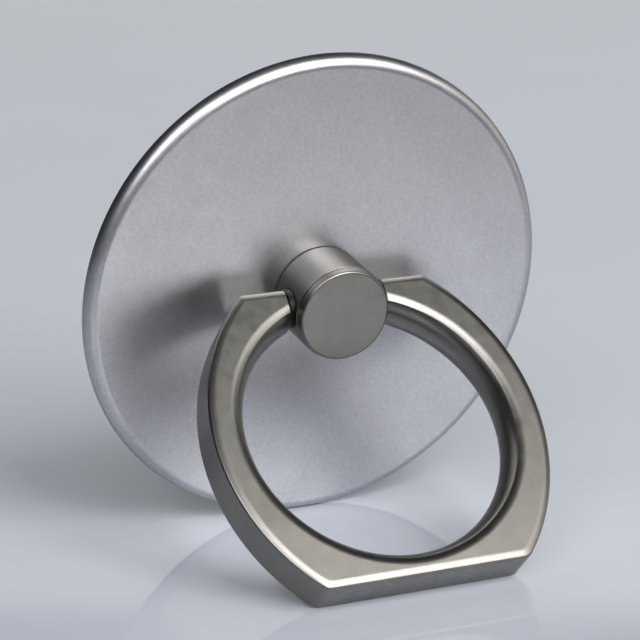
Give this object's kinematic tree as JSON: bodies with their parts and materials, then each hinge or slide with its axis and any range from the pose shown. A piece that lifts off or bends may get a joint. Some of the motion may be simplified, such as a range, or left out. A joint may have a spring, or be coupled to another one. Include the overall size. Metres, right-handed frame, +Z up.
{
  "type": "phone ring holder",
  "caption": "Round stick-on plate with a swivelling centre post and a hinged D-shaped finger ring that folds flat or stands out as a prop.",
  "frame": {"origin": "on the table, under the middle of the holder's box as it stands on the plate's rim and the ring's foot", "axes": "+X along the ring's hinge, -Y to the front where the ring stands, +Z up"},
  "size_m": [0.037, 0.0236, 0.0366],
  "materials": {
    "plate_satin": "bead-blasted satin",
    "satin_nickel": "satin nickel plate",
    "spring_steel": "plain bright steel",
    "black_washer": "black nylon",
    "pad_foam": "matt foam with a tacky face"
  },
  "bodies": {
    "plate": {"base_plate": "plate_satin", "adhesive_pad": "pad_foam", "swivel_rivet": "spring_steel", "thrust_washer": "black_washer", "disc_spring": "spring_steel"},
    "post": {"swivel_post": "satin_nickel", "post_cap": "satin_nickel"},
    "ring": {"finger_ring": "satin_nickel", "hinge_pin_left": "spring_steel", "hinge_pin_right": "spring_steel", "friction_washer_left": "black_washer", "friction_washer_right": "black_washer", "hinge_spring": "spring_steel"}
  },
  "joints": [
    {"name": "post_swivel", "type": "hinge", "parent": "plate", "child": "post", "pos_m": [0, 0.00508, 0.01783], "axis": [0, -0.989, -0.1478], "continuous": true},
    {"name": "ring_hinge", "type": "hinge", "parent": "post", "child": "ring", "pos_m": [0, 0.00508, 0.01783], "axis": [1, 0, 0], "range_deg": [-127.17, 52.83]}
  ]
}
